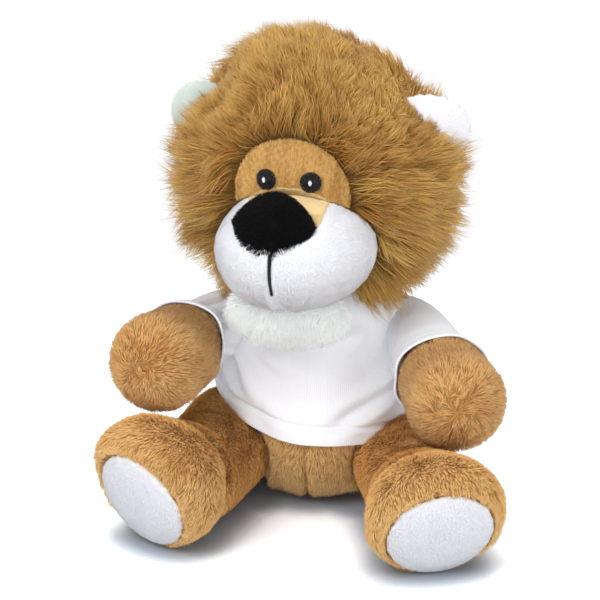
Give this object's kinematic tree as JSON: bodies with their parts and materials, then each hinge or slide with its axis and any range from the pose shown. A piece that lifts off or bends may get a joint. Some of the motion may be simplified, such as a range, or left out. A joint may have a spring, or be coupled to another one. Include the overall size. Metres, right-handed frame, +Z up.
{
  "type": "plush lion",
  "caption": "Sitting plush lion with a shaggy mane, round face and a plain T-shirt; head, arms, legs, tail and ears move.",
  "frame": {"origin": "on the floor under the middle of the torso, in the flat that the seat and feet rest on", "axes": "+Z up; the chest faces -Y; +X is the lion's left, on the viewer's right"},
  "size_m": [0.1177, 0.1493, 0.1455],
  "materials": {
    "tan_pile": "short pile plush",
    "mane_pile": "long pile plush",
    "face_pile": "short pile plush",
    "cream_pile": "short pile plush",
    "white_pile": "short pile plush",
    "chin_pile": "long pile plush",
    "black_pile": "short pile plush",
    "black_thread": "satin stitched thread",
    "white_thread": "satin stitched thread",
    "shirt_knit": "fine knit",
    "fibre_fill": "loose fibre",
    "pouch_cloth": "woven",
    "bean_plastic": "small beads"
  },
  "bodies": {
    "trunk": {"torso_cover": "tan_pile", "torso_stuffing": "fibre_fill", "bean_pouch": "pouch_cloth", "bean_fill": "bean_plastic", "shirt_front": "shirt_knit", "shirt_back": "shirt_knit", "shirt_neckband": "shirt_knit"},
    "head": {"head_stuffing": "fibre_fill", "face_panel": "face_pile", "bridge_panel": "cream_pile", "muzzle_left": "white_pile", "muzzle_right": "white_pile", "nose": "black_pile", "mouth_stitch": "black_thread", "chin_tuft": "chin_pile", "mane_front": "mane_pile", "mane_back": "mane_pile", "eye_left": "black_thread", "eye_right": "black_thread", "eye_glint_left": "white_thread", "eye_glint_right": "white_thread"},
    "ear_left": {"ear_left_front": "white_pile", "ear_left_back": "tan_pile"},
    "ear_right": {"ear_right_front": "white_pile", "ear_right_back": "tan_pile"},
    "arm_left": {"arm_left_cover": "tan_pile", "arm_left_stuffing": "fibre_fill", "sleeve_left": "shirt_knit"},
    "arm_right": {"arm_right_cover": "tan_pile", "arm_right_stuffing": "fibre_fill", "sleeve_right": "shirt_knit"},
    "leg_left": {"leg_left_cover": "tan_pile", "leg_left_stuffing": "fibre_fill", "foot_pad_left": "white_pile"},
    "leg_right": {"leg_right_cover": "tan_pile", "leg_right_stuffing": "fibre_fill", "foot_pad_right": "white_pile"},
    "tail_body": {"tail": "tan_pile", "tail_tuft": "mane_pile"}
  },
  "joints": [
    {"name": "head_turn", "type": "hinge", "parent": "trunk", "child": "head", "pos_m": [0, 0, 0.066], "axis": [0, 0, 1], "range_deg": [-10, 22], "stiffness_Nm_per_rad": 0.01},
    {"name": "ear_left_fold", "type": "hinge", "parent": "head", "child": "ear_left", "pos_m": [0.03213, -0.00379, 0.11351], "axis": [0.3056, -0.0457, -0.9511], "range_deg": [-12, 12], "stiffness_Nm_per_rad": 0.003},
    {"name": "ear_right_fold", "type": "hinge", "parent": "head", "child": "ear_right", "pos_m": [-0.03183, 0.00577, 0.11351], "axis": [0.3056, -0.0457, 0.9511], "range_deg": [-12, 12], "stiffness_Nm_per_rad": 0.003},
    {"name": "arm_left_swing", "type": "hinge", "parent": "trunk", "child": "arm_left", "pos_m": [0.03, -0.003, 0.05], "axis": [-1, 0, 0], "range_deg": [0, 28], "stiffness_Nm_per_rad": 0.03},
    {"name": "arm_right_swing", "type": "hinge", "parent": "trunk", "child": "arm_right", "pos_m": [-0.03, -0.003, 0.05], "axis": [-1, 0, 0], "range_deg": [0, 20], "stiffness_Nm_per_rad": 0.03},
    {"name": "leg_left_splay", "type": "hinge", "parent": "trunk", "child": "leg_left", "pos_m": [0.027, -0.015, 0.0153], "axis": [0, 0, 1], "range_deg": [-8, 8], "stiffness_Nm_per_rad": 0.02},
    {"name": "leg_right_splay", "type": "hinge", "parent": "trunk", "child": "leg_right", "pos_m": [-0.026, -0.008, 0.0153], "axis": [0, 0, -1], "range_deg": [-8, 8], "stiffness_Nm_per_rad": 0.02},
    {"name": "tail_wag", "type": "hinge", "parent": "trunk", "child": "tail_body", "pos_m": [0, 0.02407, 0.0085], "axis": [0, 0, 1], "range_deg": [-20, 20], "stiffness_Nm_per_rad": 0.003}
  ]
}
